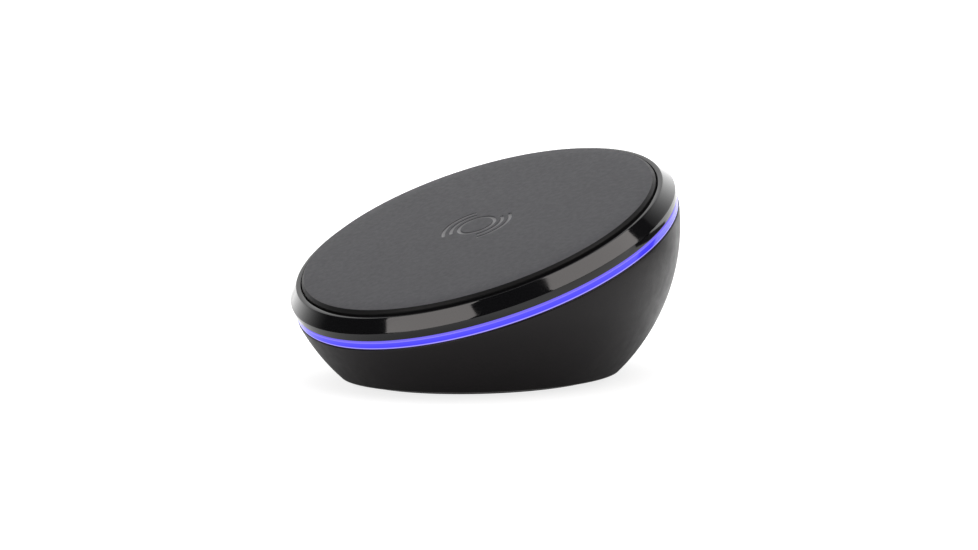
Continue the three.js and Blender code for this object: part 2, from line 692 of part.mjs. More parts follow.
// Flat cable from the LED board's underside, over the chassis ring and down to its connector.
function ledRibbon() {
  const level = ledBoard.bottom - CLEAR - RIBBON_THICKNESS / 2;
  const edge = chord(chassisInnerRadius, RIBBON_X + RIBBON_WIDTH / 2);
  const between = (tray.bottom + chassis.top) / 2;
  const connectorTop = board.top + CLEAR + LED_CONNECTOR.high;
  const path = new THREE.CatmullRomCurve3([
    tiltedPoint(RIBBON_X, chord(ledgeRadius - 2 * CLEAR, RIBBON_X + RIBBON_WIDTH / 2), level),
    tiltedPoint(RIBBON_X, edge + RIBBON_FOLD.before, between),
    tiltedPoint(RIBBON_X, edge - RIBBON_FOLD.over, between - RIBBON_FOLD.dip),
    tiltedPoint(RIBBON_X, edge - RIBBON_FOLD.past, chassis.bottom),
    new THREE.Vector3(RIBBON_X, LED_CONNECTOR.y, connectorTop + CABLE_RISE),
    new THREE.Vector3(RIBBON_X, LED_CONNECTOR.y, connectorTop + CLEAR),
  ]);
  const halfWidth = RIBBON_WIDTH / 2;
  const halfThickness = RIBBON_THICKNESS / 2;
  const section = new THREE.Shape([
    new THREE.Vector2(-halfWidth, -halfThickness),
    new THREE.Vector2(halfWidth, -halfThickness),
    new THREE.Vector2(halfWidth, halfThickness),
    new THREE.Vector2(-halfWidth, halfThickness),
  ]);
  const options = { steps: 20, extrudePath: path, bevelEnabled: false };
  return new THREE.ExtrudeGeometry(section, options);
}

function buildElectronics() {
  const usbPlace = { y: pocketFloor - CLEAR - USB_SIZE.long, z: usb.middle };
  place(base, "main_board", mainBoard(), finishes.boardGreen);
  place(base, "usb_c_receptacle", usbReceptacle(), finishes.steel, usbPlace);
  buildBoardParts();
  const outerStart = coilOuterRadius + WIRE_RADIUS + CLEAR;
  const outer = coilLead(-LEAD_SPREAD, outerStart, coil.middle);
  const inner = coilLead(LEAD_SPREAD, COIL_INNER_RADIUS, ferrite.middle);
  place(base, "coil_lead_outer", outer, finishes.insulation);
  place(base, "coil_lead_inner", inner, finishes.insulation);
  place(base, "led_ribbon", ledRibbon(), finishes.ribbon);
  const boardShank = board.height + SCREW_BITE;
  const boardFace = board.top + CLEAR + SCREW.headHeight;
  placeScrews(base, "board_screw", boardPosts, boardFace, boardShank, false);
}

buildBase();
buildHead();
buildElectronics();

export default model;
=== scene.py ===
"""Looks of the wireless charging pad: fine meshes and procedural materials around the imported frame.

Metres, +Z up, the user in front at -Y. The head (pad, bezel and light ring) lies in its own tilted
frame: its origin is the middle of the charging face, and its +Z is the face's normal.
"""

import json
import math

import bpy
from mathutils import Matrix, Vector


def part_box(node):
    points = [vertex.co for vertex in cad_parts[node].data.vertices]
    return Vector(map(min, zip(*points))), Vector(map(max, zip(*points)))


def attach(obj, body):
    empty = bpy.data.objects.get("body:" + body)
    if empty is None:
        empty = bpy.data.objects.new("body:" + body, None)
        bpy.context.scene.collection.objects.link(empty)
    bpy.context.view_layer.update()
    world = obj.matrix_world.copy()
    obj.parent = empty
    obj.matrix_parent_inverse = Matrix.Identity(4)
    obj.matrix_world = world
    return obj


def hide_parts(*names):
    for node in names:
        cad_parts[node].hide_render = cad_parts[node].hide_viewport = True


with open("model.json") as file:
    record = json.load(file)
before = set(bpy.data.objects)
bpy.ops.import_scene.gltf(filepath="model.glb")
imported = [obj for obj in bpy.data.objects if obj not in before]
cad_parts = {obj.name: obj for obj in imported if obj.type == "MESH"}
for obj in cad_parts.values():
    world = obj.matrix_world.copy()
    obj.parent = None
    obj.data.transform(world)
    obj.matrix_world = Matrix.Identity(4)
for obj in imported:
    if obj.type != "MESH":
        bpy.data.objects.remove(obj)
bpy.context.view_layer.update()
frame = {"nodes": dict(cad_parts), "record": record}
MM = 0.001

# ---------- Camera ----------
CAMERA_AZIMUTH = 47.0  # degrees, from the front towards +X
CAMERA_ELEVATION = 6.2
CAMERA_ROLL = -1.46
CAMERA_DISTANCE = 0.6
CAMERA_LENS = 89.8
CAMERA_CLIP = 0.01
CAMERA_AIM = (3.07 * MM, -12.31 * MM)  # right and up in the picture, from the middle of the face

# ---------- Studio ----------
FLOOR_HALF = 30
FLOOR_GLOW = 0.8
FLOOR_COLOUR = (0.2, 0.2, 0.2)
SOFTBOX_DISTANCE = 1.0
SOFTBOX_COLOUR = (1.0, 0.95, 0.93)
SOFTBOX_RADIANCE = 3.4
SOFTBOXES = (  # name, azimuth, elevation, size
    ("right_softbox", 98.5, 53, (0.91, 0.4)),
    ("front_softbox", -3, 31, (0.7, 0.4)),
)
OVERHEAD_ANGLE = 60  # degrees across the soft overhead light
OVERHEAD_STRENGTH = 2.6
BACKDROP_AZIMUTH = -160  # where the white backdrop stands highest
BACKDROP_FADE = (-0.65, 0.35, 2.0, 0.03)  # from height, to height, brightness below, above
FLAG_COLOUR = (0.005, 0.005, 0.005)
FLAG_ROUGHNESS = 0.9
FLAG_DISTANCE = 0.35  # black cards seen only in reflections
FLAG_HEIGHT = 0.6
FLAG_AZIMUTHS = (137, 153)
FLOOR_FLAG_REACH = (0.2, 0.45)
FLOOR_FLAG_AZIMUTHS = (138, 176)
SHADE_REACH = (0.034, 0.07)  # the floor looks darker around the foot, in reflections only
SHADE_GLOW = (0.12, 1.1)
ABOVE_FLOOR = 1 * MM  # cards that lie on the floor

# ---------- Mesh fineness ----------
ROUND_STEPS = 192
BODY_ROWS = 48
CAVITY_ROWS = 24
BALL_ROWS = 48
MARK_RINGS = 56
PORT_STEPS = 64
SHARP_ANGLE = math.radians(35)

# ---------- Body details ----------
CLEAR = 0.3 * MM
WALL = 2.4 * MM
RIM_FILLET = 0.35 * MM
RIM_BAND = 1.2 * MM  # height of the strip with the rounded upper rim
FOOT_FILLET = 0.4 * MM
FOOT_BAND = 1.5 * MM  # height of the strip with the rounded lower rim
LEDGE_WIDTH = 5 * MM  # under the light ring
BASE_LEDGE_LIFT = 2.7 * MM  # above the base plate's lowest point
BASE_LEDGE_HEIGHT = 3 * MM
BASE_LEDGE_WIDTH = 6.8 * MM
PORT_POCKET = (12 * MM, 6 * MM)
PORT_DEPTH = 2 * MM
PORT_FRAME = 1.2 * MM  # block around the pocket
PORT_ROUND = 0.3 * MM

# ---------- Head details ----------
CHAMFER_RUN = 2.4 * MM
CHAMFER_DROP = 2.95 * MM
CHAMFER_CROWN = 0.015 * MM
LAND_WIDTH = 1.2 * MM
BEZEL_INSET = 0.35 * MM  # inside the ball
BAND_FILLET = 0.2 * MM
WAIST_FILLET = 0.15 * MM
LAND_FILLET = 0.08 * MM
WELL_FILLET = 0.12 * MM
DECK_THICKNESS = 1.5 * MM
LIGHT_DROP = 0.2 * MM
LIGHT_FILLET = 0.2 * MM
# The ring's own violet-blue glow, with painted highlights: the lighter lavender stops next to both
# rims stand for the white floor and backdrop reflected in its rounded rims.
GLOW_AND_RIM_HIGHLIGHT_STOPS = (  # share of the light ring's height, colour
    (0.0, (0.34, 0.28, 0.95)),
    (0.13, (0.42, 0.36, 1.0)),
    (0.24, (0.03, 0.02, 0.82)),
    (0.45, (0.045, 0.035, 0.95)),
    (0.84, (0.055, 0.045, 0.97)),
    (0.92, (0.24, 0.19, 1.0)),
    (1.0, (0.2, 0.16, 0.9)),
)

# ---------- Pad and mark ----------
PAD_EDGE = (0.7 * MM, 0.65 * MM)  # sloping edge of the pad: width, depth
PAD_EDGE_ROUND = 0.12 * MM
PAD_SIDE_FILLET = 0.25 * MM
PAD_BASE_FILLET = 0.2 * MM
FACE_CORE = 1.5 * MM  # innermost ring of the face
FACE_RINGS = (11 * MM, 16 * MM, 22 * MM, 30 * MM, 38 * MM, 40 * MM)  # outside the mark
MARK_RING = 4.6 * MM
MARK_ARCS = (6.6 * MM, 8.6 * MM)
MARK_LINE = 0.4 * MM  # half the width of a pressed line
MARK_SLOPE = 0.22 * MM  # width of a line's sloping sides
MARK_TURN = math.radians(5)
MARK_HALF_ANGLE = math.radians(47)
MARK_DEPTH = 0.26 * MM

# ---------- Foot details ----------
GROOVE_RADII = (10 * MM, 19 * MM, 27 * MM)
GROOVE_HALF = 0.5 * MM
GROOVE_FLOOR_HALF = 0.3 * MM
GROOVE_DEPTH = 0.4 * MM
GROOVE_FILLET = 0.1 * MM
FOOT_PAD_FILLET = 0.3 * MM

# ---------- The head's frame, from the record's charging face ----------
FACE = next(m for m in frame["record"]["mounts"] if m["name"] == "charging_face")
CENTRE = Vector(FACE["pos_m"])
NORMAL = Vector(FACE["axis"]).normalized()
TILT = math.atan2(-NORMAL.y, NORMAL.z)
HEAD = Matrix.Translation(CENTRE) @ Matrix.Rotation(TILT, 4, "X")
FLAT = Matrix.Identity(4)
BALL_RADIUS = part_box("body_shell")[1].y
SLOTS = {row["node"]: row["material_slot"] for row in frame["record"]["subparts"]}


def chord(radius, distance):
    return math.sqrt(radius**2 - distance**2)


def head_extent(node):
    """(inner radius, outer radius, lowest, highest) of a CAD node in the head's frame."""
    to_head = HEAD.inverted()
    points = [to_head @ v.co for v in frame["nodes"][node].data.vertices]
    radii = [p.xy.length for p in points]
    heights = [p.z for p in points]
    return min(radii), max(radii), min(heights), max(heights)


# ---------- Mesh helpers ----------


def rounded(corners, steps=5, closed=True):
    """(radius, height, fillet) corners to (radius, height) points, with round fillets."""
    points = []
    count = len(corners)
    for i, (x, y, fillet) in enumerate(corners):
        here = Vector((x, y))
        inside = closed or 0 < i < count - 1
        if fillet == 0 or not inside:
            points.append(here)
            continue
        before = (Vector(corners[i - 1][:2]) - here).normalized()
        after = (Vector(corners[(i + 1) % count][:2]) - here).normalized()
        half = before.angle(after) / 2
        reach = fillet / math.tan(half)
        middle = here + (before + after).normalized() * (fillet / math.sin(half))
        start = here + before * reach - middle
        end = here + after * reach - middle
        angle = start.angle_signed(end)
        for step in range(steps + 1):
            spin = Matrix.Rotation(-angle * step / steps, 2)
            points.append(middle + spin @ start)
    return [(p.x, p.y) for p in points]


def make_object(name, vertices, faces, materials):
    mesh = bpy.data.meshes.new(name)
    mesh.from_pydata([tuple(v) for v in vertices], [], faces)
    mesh.validate()
    piece = bpy.data.objects.new(name, mesh)
    bpy.context.scene.collection.objects.link(piece)
    for material in materials:
        mesh.materials.append(material)
    smooth(mesh)
    return piece


def smooth(mesh):
    mesh.shade_smooth()
    mesh.set_sharp_from_angle(angle=SHARP_ANGLE)


def circle(radius, height, matrix):
    turns = (2 * math.pi * i / ROUND_STEPS for i in range(ROUND_STEPS))
    return [matrix @ Vector((radius * math.cos(a), radius * math.sin(a), height)) for a in turns]


def stitch(loops, closed=True):
    """Quads between loops of equal length, and from the last back to the first if closed."""
    steps = len(loops[0])
    vertices = [v for loop in loops for v in loop]
    faces = []
    for row in range(len(loops) if closed else len(loops) - 1):
        low = row * steps
        high = (row + 1) % len(loops) * steps
        for i in range(steps):
            j = (i + 1) % steps
            faces.append((low + i, low + j, high + j, high + i))
    return vertices, faces


def ring_piece(name, profile, matrix, materials):
    vertices, faces = stitch([circle(r, h, matrix) for r, h in profile])
    return make_object(name, vertices, faces, materials)


def disc_piece(name, profile, matrix, materials):
    """A profile whose two ends are on the axis."""
    inner = profile[1:-1]
    vertices, faces = stitch([circle(r, h, matrix) for r, h in inner], closed=False)
    for height, row, flip in ((profile[0][1], 0, True), (profile[-1][1], len(inner) - 1, False)):
        pole = len(vertices)
        vertices.append(matrix @ Vector((0, 0, height)))
        for i in range(ROUND_STEPS):
            start = row * ROUND_STEPS + i
            end = row * ROUND_STEPS + (i + 1) % ROUND_STEPS
            faces.append((end, start, pole) if flip else (start, end, pole))
    return make_object(name, vertices, faces, materials)


def boolean(piece, cutter, operation):
    """Joins or cuts with another object, which is then removed."""
    modifier = piece.modifiers.new("boolean", "BOOLEAN")
    modifier.operation = operation
    modifier.object = cutter
    modifier.solver = "EXACT"
    apply_modifiers(piece)
    bpy.data.objects.remove(cutter)


def apply_modifiers(piece):
    bpy.context.view_layer.update()
    evaluated = piece.evaluated_get(bpy.context.evaluated_depsgraph_get())
    mesh = bpy.data.meshes.new_from_object(evaluated)
    piece.modifiers.clear()
    piece.data = mesh
    smooth(mesh)


def show(piece, *nodes):
    """The piece rides with the body and stands for CAD nodes."""
    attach(piece, "root")
    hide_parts(*nodes)
    return piece


# ---------- Materials ----------


class Look:
    """A Principled material with object-space coordinates in millimetres."""

    def __init__(self, name, colour, roughness, metallic=0.0, specular=0.5):
        self.material = bpy.data.materials.new(name)
        self.material.use_nodes = True
        self.nodes = self.material.node_tree.nodes
        self.links = self.material.node_tree.links
        self.shader = self.nodes["Principled BSDF"]
        self.shader.inputs["Base Color"].default_value = (*colour, 1)
        self.shader.inputs["Roughness"].default_value = roughness
        self.shader.inputs["Metallic"].default_value = metallic
        self.shader.inputs["Specular IOR Level"].default_value = specular
        coordinates = self.nodes.new("ShaderNodeTexCoord")
        scale = self.nodes.new("ShaderNodeVectorMath")
        scale.operation = "SCALE"
        scale.inputs["Scale"].default_value = 1 / MM
        self.links.new(coordinates.outputs["Object"], scale.inputs[0])
        self.place = scale.outputs[0]

    def noise(self, size_mm, detail):
        """A noise value from 0 to 1 whose features are about this many millimetres across."""
        node = self.nodes.new("ShaderNodeTexNoise")
        node.inputs["Scale"].default_value = 1 / size_mm
        node.inputs["Detail"].default_value = detail
        self.links.new(self.place, node.inputs["Vector"])
        return node.outputs["Fac"]

    def cells(self, size_mm):
        node = self.nodes.new("ShaderNodeTexVoronoi")
        node.inputs["Scale"].default_value = 1 / size_mm
        self.links.new(self.place, node.inputs["Vector"])
        return node.outputs["Distance"]

    def spread(self, value, to_low, to_high, low=0.3, high=0.7):
        """The value's range from low to high, stretched to the range from to_low to to_high."""
        node = self.nodes.new("ShaderNodeMapRange")
        for socket, number in zip(("From Min", "From Max", "To Min", "To Max"),
                                  (low, high, to_low, to_high)):
            node.inputs[socket].default_value = number
        self.links.new(value, node.inputs["Value"])
        return node.outputs["Result"]

    def vary_colour(self, value, dark, light):
        node = self.nodes.new("ShaderNodeMix")
        node.data_type = "RGBA"
        node.inputs["A"].default_value = (*dark, 1)
        node.inputs["B"].default_value = (*light, 1)
        self.links.new(value, node.inputs["Factor"])
        self.links.new(node.outputs["Result"], self.shader.inputs["Base Color"])

    def vary_roughness(self, value):
        self.links.new(value, self.shader.inputs["Roughness"])

    def bump(self, value, height_mm):
        node = self.nodes.new("ShaderNodeBump")
        node.inputs["Distance"].default_value = height_mm * MM
        node.inputs["Strength"].default_value = 1
        self.links.new(value, node.inputs["Height"])
        previous = self.shader.inputs["Normal"].links
        if previous:
            self.links.new(previous[0].from_socket, node.inputs["Normal"])
        self.links.new(node.outputs["Normal"], self.shader.inputs["Normal"])


def body_look():
    """Matte charcoal plastic with a fine spark-eroded grain."""
    look = Look("body_charcoal", (0.0055, 0.0038, 0.0044), 0.38, specular=0.28)
    cloud = look.spread(look.noise(9, 3), 0, 1, low=0.35, high=0.65)
    look.vary_colour(cloud, (0.0049, 0.0034, 0.0039), (0.0062, 0.0043, 0.0049))
    look.vary_roughness(look.spread(look.noise(2.5, 4), 0.33, 0.41))
    look.bump(look.noise(0.22, 3), 0.012)
    look.bump(look.cells(0.45), 0.006)
    return look.material


def bezel_look():
    """Piano black: very smooth, with the faint waviness and haze of moulded gloss plastic."""
    look = Look("bezel_piano_black", (0.0035, 0.0035, 0.004), 0.07)
    look.vary_roughness(look.spread(look.noise(6, 3), 0.05, 0.1, low=0.35))
    look.bump(look.noise(7, 1), 0.004)
    return look.material


def glow_and_highlight_look(low, high):
    """Glossy ring lit from inside in violet-blue; the lighter bands along both rims are painted
    highlights in its emission colour.
    """
    look = Look("light_ring_glow_and_rim_highlights", (0.02, 0.015, 0.12), 0.12)
    height = look.nodes.new("ShaderNodeVectorMath")
    height.operation = "DOT_PRODUCT"
    height.inputs[1].default_value = NORMAL
    look.links.new(look.place, height.inputs[0])
    face_height = CENTRE.dot(NORMAL)
    bottom = low / MM + face_height / MM
    top = high / MM + face_height / MM
    share = look.spread(height.outputs["Value"], 0, 1, low=bottom, high=top)
    # painted highlights: the ramp lightens the emission towards both rims
    ramp = look.nodes.new("ShaderNodeValToRGB")
    stops = ramp.color_ramp.elements
    for stop, (place, colour) in zip(stops, (GLOW_AND_RIM_HIGHLIGHT_STOPS[0], GLOW_AND_RIM_HIGHLIGHT_STOPS[-1])):
        stop.position = place
        stop.color = (*colour, 1)
    for place, colour in GLOW_AND_RIM_HIGHLIGHT_STOPS[1:-1]:
        stops.new(place).color = (*colour, 1)
    look.links.new(share, ramp.inputs["Fac"])
    look.links.new(ramp.outputs["Color"], look.shader.inputs["Emission Color"])
    look.shader.inputs["Emission Strength"].default_value = 1
    look.vary_roughness(look.spread(look.noise(3, 2), 0.1, 0.16))
    look.bump(look.noise(1.4, 2), 0.004)
    return look.material


def soft_look(name, colour, roughness, specular=0.34):
    look = Look(name, colour, roughness, specular=specular)
    cloud = look.spread(look.noise(14, 3), 0, 1)
    look.vary_colour(cloud, [c * 0.95 for c in colour], [c * 1.05 for c in colour])
    look.vary_roughness(look.spread(look.noise(1.2, 4), roughness - 0.04, roughness + 0.04))
    look.bump(look.noise(0.16, 4), 0.008)
    return look.material


def pad_look():
    """Soft-touch pad with a very fine grain."""
    return soft_look("pad_soft_grey", (0.0285, 0.0285, 0.033), 0.44)


# Painted shade: a far darker copy of the pad's soft-touch material, for the pad's side, which faces
# away from the overhead light.
def shaded_flank_look():
    return soft_look("pad_side_painted_shade", (0.004, 0.004, 0.0042), 0.5, specular=0.2)


# Painted sheen: the pressed lines are coloured much lighter than the pad to stand for the brighter
# reflection of their smoother surface, on top of their lower roughness.
def mark_look():
    return soft_look("pad_mark_painted_sheen", (0.135, 0.135, 0.14), 0.36)


def rubber_look():
    look = Look("foot_rubber", (0.012, 0.012, 0.012), 0.8)
    look.vary_roughness(look.spread(look.noise(1.5, 3), 0.7, 0.9))
    look.bump(look.noise(0.4, 3), 0.02)
    return look.material


def plastic_look(name, colour, roughness=0.6):
    look = Look(name, colour, roughness)
    look.vary_roughness(look.spread(look.noise(2, 3), roughness - 0.07, roughness + 0.07))
    look.bump(look.noise(0.5, 3), 0.01)
    return look.material


def metal_look(name, colour, roughness=0.35):
    look = Look(name, colour, roughness, metallic=1.0)
    look.vary_roughness(look.spread(look.noise(0.8, 4), roughness - 0.1, roughness + 0.1))
    look.bump(look.noise(0.25, 3), 0.004)
    return look.material


# ---------- Body ----------


def ball_loop(radius, share, top, bottom):
    """A loop on the ball, the given share of the way from the tilted rim down to the lower rim.
    top and bottom are the heights of those rims' planes from the ball's centre."""
    rim = circle(chord(radius, top), top, HEAD)
    foot = circle(chord(radius, bottom), bottom, Matrix.Translation(CENTRE))
    loop = []
    for high, low in zip(rim, foot):
        direction = ((high - CENTRE).lerp(low - CENTRE, share)).normalized()
        loop.append(CENTRE + direction * radius)
    return loop


def ball_rows(radius, top, bottom, rows):
    return [ball_loop(radius, i / rows, top, bottom) for i in range(rows + 1)]


def body_piece():
    """The bowl, as loops from its upper rim down the outside and back up the inside."""
    bore = head_extent("light_ring")[0] - CLEAR
    rim = head_extent("light_ring")[2] - CLEAR
    ledge_top = head_extent("led_board")[2] - CLEAR
    ledge_bottom = head_extent("chassis_ring")[3] + CLEAR
    ledge_bore = bore - LEDGE_WIDTH
    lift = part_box("body_shell")[0].z
    plate_low, plate_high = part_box("base_plate")
    plate_bore = plate_high.x + CLEAR
    base_ledge_low = plate_low.z + BASE_LEDGE_LIFT
    base_ledge_high = base_ledge_low + BASE_LEDGE_HEIGHT
    base_ledge_bore = plate_bore - BASE_LEDGE_WIDTH
    outside_top = rim - RIM_BAND
    outside_bottom = lift - CENTRE.z + FOOT_BAND

    top_edge = rounded([
        (bore, rim, 0),
        (chord(BALL_RADIUS, rim), rim, RIM_FILLET),
        (chord(BALL_RADIUS, outside_top), outside_top, 0),
    ], closed=False)
    low_edge = rounded([
        (chord(BALL_RADIUS, outside_bottom), lift + FOOT_BAND, 0),
        (chord(BALL_RADIUS, lift - CENTRE.z), lift, FOOT_FILLET),
        (plate_bore, lift, 0),
    ], closed=False)
    loops = [circle(r, h, HEAD) for r, h in top_edge[:-1]]
    loops += ball_rows(BALL_RADIUS, outside_top, outside_bottom, BODY_ROWS)
    loops += [circle(r, h, FLAT) for r, h in low_edge[1:]]
    loops += [circle(plate_bore, base_ledge_low, FLAT)]
    loops += [circle(base_ledge_bore, base_ledge_low, FLAT)]
    loops += [circle(base_ledge_bore, base_ledge_high, FLAT)]
    cavity_bottom = base_ledge_high - CENTRE.z
    loops += reversed(ball_rows(BALL_RADIUS - WALL, ledge_bottom, cavity_bottom, CAVITY_ROWS))
    loops += [circle(ledge_bore, ledge_bottom, HEAD)]
    loops += [circle(ledge_bore, ledge_top, HEAD)]
    loops += [circle(bore, ledge_top, HEAD)]
    vertices, faces = stitch(loops)
    outward = [face[::-1] for face in faces]
    piece = make_object("body", vertices, outward, [body_look()])
    cut_port(piece)
    return show(piece, "body_shell")


def stadium_loop(wide, high, y, middle):
    """A stadium outline in the plane at y, around the height middle."""
    straight = (wide - high) / 2
    loop = []
    for i in range(PORT_STEPS):
        angle = 2 * math.pi * (i + 0.5) / PORT_STEPS
        x = math.copysign(straight, math.sin(angle)) + math.sin(angle) * high / 2
        loop.append(Vector((x, y, middle + math.cos(angle) * high / 2)))
    return loop


def stadium_solid(name, middle, sections):
    """A solid along Y with a stadium outline, from (y, width, height) sections."""
    loops = [stadium_loop(wide, high, y, middle) for y, wide, high in sections]
    vertices, faces = stitch(loops, closed=False)
    faces.append(tuple(reversed(range(PORT_STEPS))))
    faces.append(tuple(range(len(vertices) - PORT_STEPS, len(vertices))))
    return make_object(name, vertices, faces, [])


def ball_solid(radius):
    turns = [math.pi * i / BALL_ROWS for i in range(1, BALL_ROWS)]
    side = [(radius * math.sin(a), -radius * math.cos(a)) for a in turns]
    profile = [(0, -radius), *side, (0, radius)]
    return disc_piece("ball", profile, Matrix.Translation(CENTRE), [])


def cut_port(piece):
    """Adds the block inside the wall and sinks the inlet's pocket and opening into it."""
    low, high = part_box("usb_c_receptacle")
    middle = (low.z + high.z) / 2
    floor = chord(BALL_RADIUS, CENTRE.z - middle) - PORT_DEPTH
    wide, tall = PORT_POCKET
    block_size = (wide + 2 * PORT_FRAME, tall + 2 * PORT_FRAME)
    block = stadium_solid("port_block", middle, [
        (floor - 2 * PORT_FRAME, *block_size),
        (BALL_RADIUS, *block_size),
    ])
    boolean(block, ball_solid(BALL_RADIUS - WALL / 2), "INTERSECT")
    pocket = stadium_solid("port_pocket", middle, [
        (floor, wide - PORT_ROUND, tall - PORT_ROUND),
        (floor + PORT_ROUND / 4, wide - PORT_ROUND / 4, tall - PORT_ROUND / 4),
        (floor + PORT_ROUND, wide, tall),
        (BALL_RADIUS, wide + PORT_ROUND, tall + PORT_ROUND),
    ])
    opening_size = (high.x - low.x + CLEAR, high.z - low.z + CLEAR)
    opening = stadium_solid("port_opening", middle, [
        (floor - 3 * PORT_FRAME, *opening_size),
        (BALL_RADIUS, *opening_size),
    ])
    boolean(piece, block, "UNION")
    boolean(piece, pocket, "DIFFERENCE")
    boolean(piece, opening, "DIFFERENCE")


# ---------- Head ----------


def crowned(start, end, crown, steps=8):
    """Points from start to end along a slightly bulging line."""
    start, end = Vector(start), Vector(end)
    outward = (end - start).normalized()
    outward = Vector((-outward.y, outward.x))
    shares = [i / steps for i in range(1, steps)]
    return [start.lerp(end, t) + outward * crown * 4 * t * (1 - t) for t in shares]


def bezel_piece():
    inner, outer, low, high = head_extent("bezel_ring")
    land = outer - CHAMFER_RUN
    well = land - LAND_WIDTH
    waist = high - CHAMFER_DROP
    shelf = head_extent("deck_plate")[3] - DECK_THICKNESS - CLEAR
    band = chord(BALL_RADIUS, low) - BEZEL_INSET
    bulge = crowned((outer, waist), (land, high), CHAMFER_CROWN)
    profile = rounded([
        (inner, low, 0),
        (band, low, BAND_FILLET),
        (outer, waist, WAIST_FILLET),
        *((p.x, p.y, 0) for p in bulge),
        (land, high, LAND_FILLET),
        (well, high, WELL_FILLET),
        (well, shelf, 0),
        (inner, shelf, 0),
    ], steps=4)
    return show(ring_piece("bezel", profile, HEAD, [bezel_look()]), "bezel_ring")


def light_piece():
    inner, outer, low, high = head_extent("light_ring")
    low -= LIGHT_DROP
    high -= LIGHT_DROP
    profile = rounded([
        (inner, low, 0),
        (outer, low, LIGHT_FILLET),
        (outer, high, LIGHT_FILLET),
        (inner, high, 0),
    ])
    return show(ring_piece("light", profile, HEAD, [glow_and_highlight_look(low, high)]), "light_ring")


def mark_distance(radius, angle):
    """How far a point of the pad's face is from the middle line of the nearest pressed line."""
    distances = [abs(radius - MARK_RING)]
    side = abs(math.remainder(angle - MARK_TURN, math.pi))
    beyond = max(0, side - MARK_HALF_ANGLE)
    for arc in MARK_ARCS:
        distances.append(math.hypot(radius - arc, 2 * math.sin(beyond / 2) * math.sqrt(radius * arc)))
    return min(distances)


def mark_depth(distance):
    share = (MARK_LINE + MARK_SLOPE / 2 - distance) / MARK_SLOPE
    share = min(1, max(0, share))
    return MARK_DEPTH * share * share * (3 - 2 * share)


def face_radii():
    """Radii of the face's rings, close together where the mark is."""
    inner = MARK_RING - 2 * MARK_LINE
    outer = MARK_ARCS[-1] + 2 * MARK_LINE
    marked = [inner + (outer - inner) * i / MARK_RINGS for i in range(MARK_RINGS + 1)]
    return [FACE_CORE, *marked, *FACE_RINGS]


def pad_piece():
    _, outer, low, high = head_extent("top_pad")
    edge = rounded([
        (0, low, 0),
        (outer, low, PAD_BASE_FILLET),
        (outer, high - PAD_EDGE[1], PAD_SIDE_FILLET),
        (outer - PAD_EDGE[0], high, PAD_EDGE_ROUND),
        (0, high, 0),
    ], closed=False)
    face = [(radius, high) for radius in reversed(face_radii())]
    profile = [*edge[:-1], *face, edge[-1]]
    piece = disc_piece("pad", profile, HEAD, [pad_look(), mark_look(), shaded_flank_look()])
    finish_pad(piece)
    return show(piece, "top_pad")


def finish_pad(piece):
    """Presses the charging mark into the face; its floor is smoother and coloured lighter as a
    painted sheen, and the pad's side gets painted shade, a darker copy of the pad's material.
    """
    to_head = HEAD.inverted()

    def distance(point):
        spot = to_head @ point
        on_face = abs(spot.z) < MARK_DEPTH * 2
        return mark_distance(spot.xy.length, math.atan2(spot.y, spot.x)) if on_face else math.inf

    for polygon in piece.data.polygons:
        # painted shade: the side faces get the darker copy of the pad's material
        if (to_head @ polygon.center).z < -PAD_EDGE_ROUND:
            polygon.material_index = 2
        # painted sheen: the mark's faces get the lighter mark material
        elif distance(polygon.center) < MARK_LINE:
            polygon.material_index = 1
    for vertex in piece.data.vertices:
        vertex.co -= NORMAL * mark_depth(distance(vertex.co))


# ---------- Foot ----------


def foot_piece():
    """The rubber foot, with ring grooves in its underside."""
    low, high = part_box("foot_pad")
    corners = [(0, low.z, 0)]
    for groove in GROOVE_RADII:
        corners += [
            (groove - GROOVE_HALF, low.z, GROOVE_FILLET),
            (groove - GROOVE_FLOOR_HALF, low.z + GROOVE_DEPTH, GROOVE_FILLET),
            (groove + GROOVE_FLOOR_HALF, low.z + GROOVE_DEPTH, GROOVE_FILLET),
            (groove + GROOVE_HALF, low.z, GROOVE_FILLET),
        ]
    corners += [(high.x, low.z, FOOT_PAD_FILLET), (high.x, high.z, 0), (0, high.z, 0)]
    profile = rounded(corners, steps=3, closed=False)
    return show(disc_piece("foot", profile, FLAT, [rubber_look()]), "foot_pad")


# ---------- Pieces kept from the frame ----------


def dress_frame():
    looks = {
        "plain_plastic": plastic_look("inner_plastic", (0.015, 0.016, 0.018)),
        "adhesive": plastic_look("tape", (0.68, 0.64, 0.53), 0.8),
        "steel": metal_look("zinc_steel", (0.55, 0.56, 0.58)),
        "copper": metal_look("litz_copper", (0.72, 0.30, 0.14), 0.4),
        "ferrite": plastic_look("ferrite", (0.04, 0.04, 0.042), 0.7),
        "board": plastic_look("solder_mask", (0.012, 0.10, 0.035), 0.45),
        "light_board": plastic_look("white_mask", (0.78, 0.78, 0.74), 0.45),
        "chip": plastic_look("chip_epoxy", (0.008, 0.008, 0.008), 0.5),
        "ceramic": plastic_look("ceramic", (0.48, 0.36, 0.20), 0.5),
        "led": plastic_look("led_package", (0.86, 0.82, 0.64), 0.4),
        "connector": plastic_look("nylon", (0.80, 0.77, 0.68), 0.5),
        "insulation": plastic_look("silicone", (0.19, 0.015, 0.015), 0.5),
        "ribbon": plastic_look("polyimide", (0.58, 0.26, 0.03), 0.4),
    }
    for name, node in frame["nodes"].items():
        if SLOTS[name] in looks:
            node.data.materials.clear()
            node.data.materials.append(looks[SLOTS[name]])


# ---------- Stage, light and camera ----------


def add_floor():
    """A lit white table, so its shadows stay faint."""
    look = Look("floor_white", FLOOR_COLOUR, 0.3, specular=0.2)
    look.shader.inputs["Emission Color"].default_value = (1, 1, 1, 1)
    look.shader.inputs["Emission Strength"].default_value = FLOOR_GLOW
    signs = ((-1, -1), (1, -1), (1, 1), (-1, 1))
    corners = [(x * FLOOR_HALF, y * FLOOR_HALF, 0) for x, y in signs]
    make_object("floor", corners, [(0, 1, 2, 3)], [look.material])


